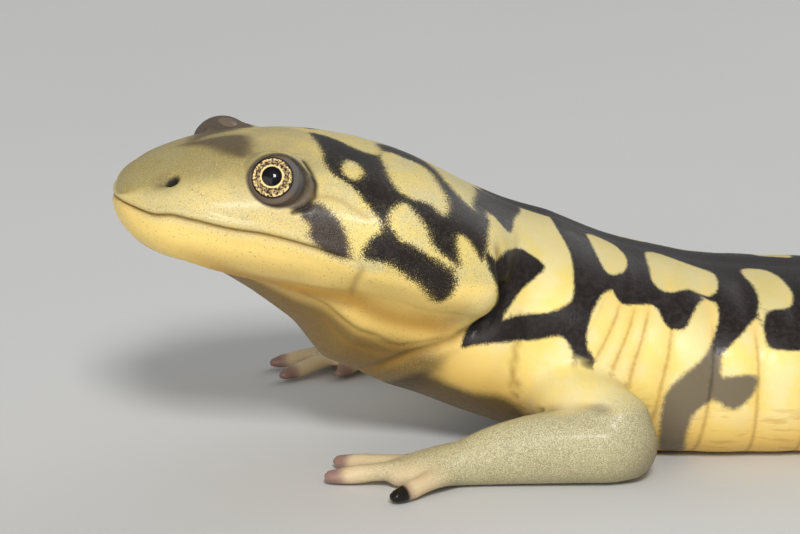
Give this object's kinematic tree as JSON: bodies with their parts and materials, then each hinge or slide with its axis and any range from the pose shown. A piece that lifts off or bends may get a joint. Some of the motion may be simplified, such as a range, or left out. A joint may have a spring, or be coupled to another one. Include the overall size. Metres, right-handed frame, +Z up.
{
  "type": "salamander figure",
  "caption": "Life-size still model of a barred tiger salamander at rest, chest raised, head turned a little to its left, yellow bars on dark wet skin.",
  "frame": {"origin": "centre of the underside of the whole model's box, on the floor it rests on", "axes": "+X along the body towards the tail's tip, head at -X; the animal's left side faces -Y; +Z up"},
  "size_m": [0.1934, 0.0706, 0.0272],
  "materials": {
    "skin": "smooth wet skin, pale yellow to olive, blotched with purple-brown black",
    "dark_skin": "smooth wet skin, mostly dark with yellow bars",
    "toe_skin": "smooth wet skin, yellow-brown, darker at the tips",
    "eye": "glossy eye with a gold-flecked iris and a round black pupil"
  },
  "bodies": {
    "root": {"eye_left": "eye", "eye_right": "eye", "fore_left_lower": "skin", "fore_left_palm": "skin", "fore_left_toe_1": "toe_skin", "fore_left_toe_2": "toe_skin", "fore_left_toe_3": "toe_skin", "fore_left_toe_4": "toe_skin", "fore_left_upper": "skin", "fore_right_lower": "skin", "fore_right_palm": "skin", "fore_right_toe_1": "toe_skin", "fore_right_toe_2": "toe_skin", "fore_right_toe_3": "toe_skin", "fore_right_toe_4": "toe_skin", "fore_right_upper": "skin", "head": "skin", "hind_left_lower": "skin", "hind_left_palm": "skin", "hind_left_toe_1": "toe_skin", "hind_left_toe_2": "toe_skin", "hind_left_toe_3": "toe_skin", "hind_left_toe_4": "toe_skin", "hind_left_toe_5": "toe_skin", "hind_left_upper": "skin", "hind_right_lower": "skin", "hind_right_palm": "skin", "hind_right_toe_1": "toe_skin", "hind_right_toe_2": "toe_skin", "hind_right_toe_3": "toe_skin", "hind_right_toe_4": "toe_skin", "hind_right_toe_5": "toe_skin", "hind_right_upper": "skin", "lower_jaw": "skin", "neck": "skin", "tail_base": "dark_skin", "tail_middle": "dark_skin", "tail_tip": "dark_skin", "trunk_front": "skin", "trunk_rear": "skin"}
  },
  "joints": []
}
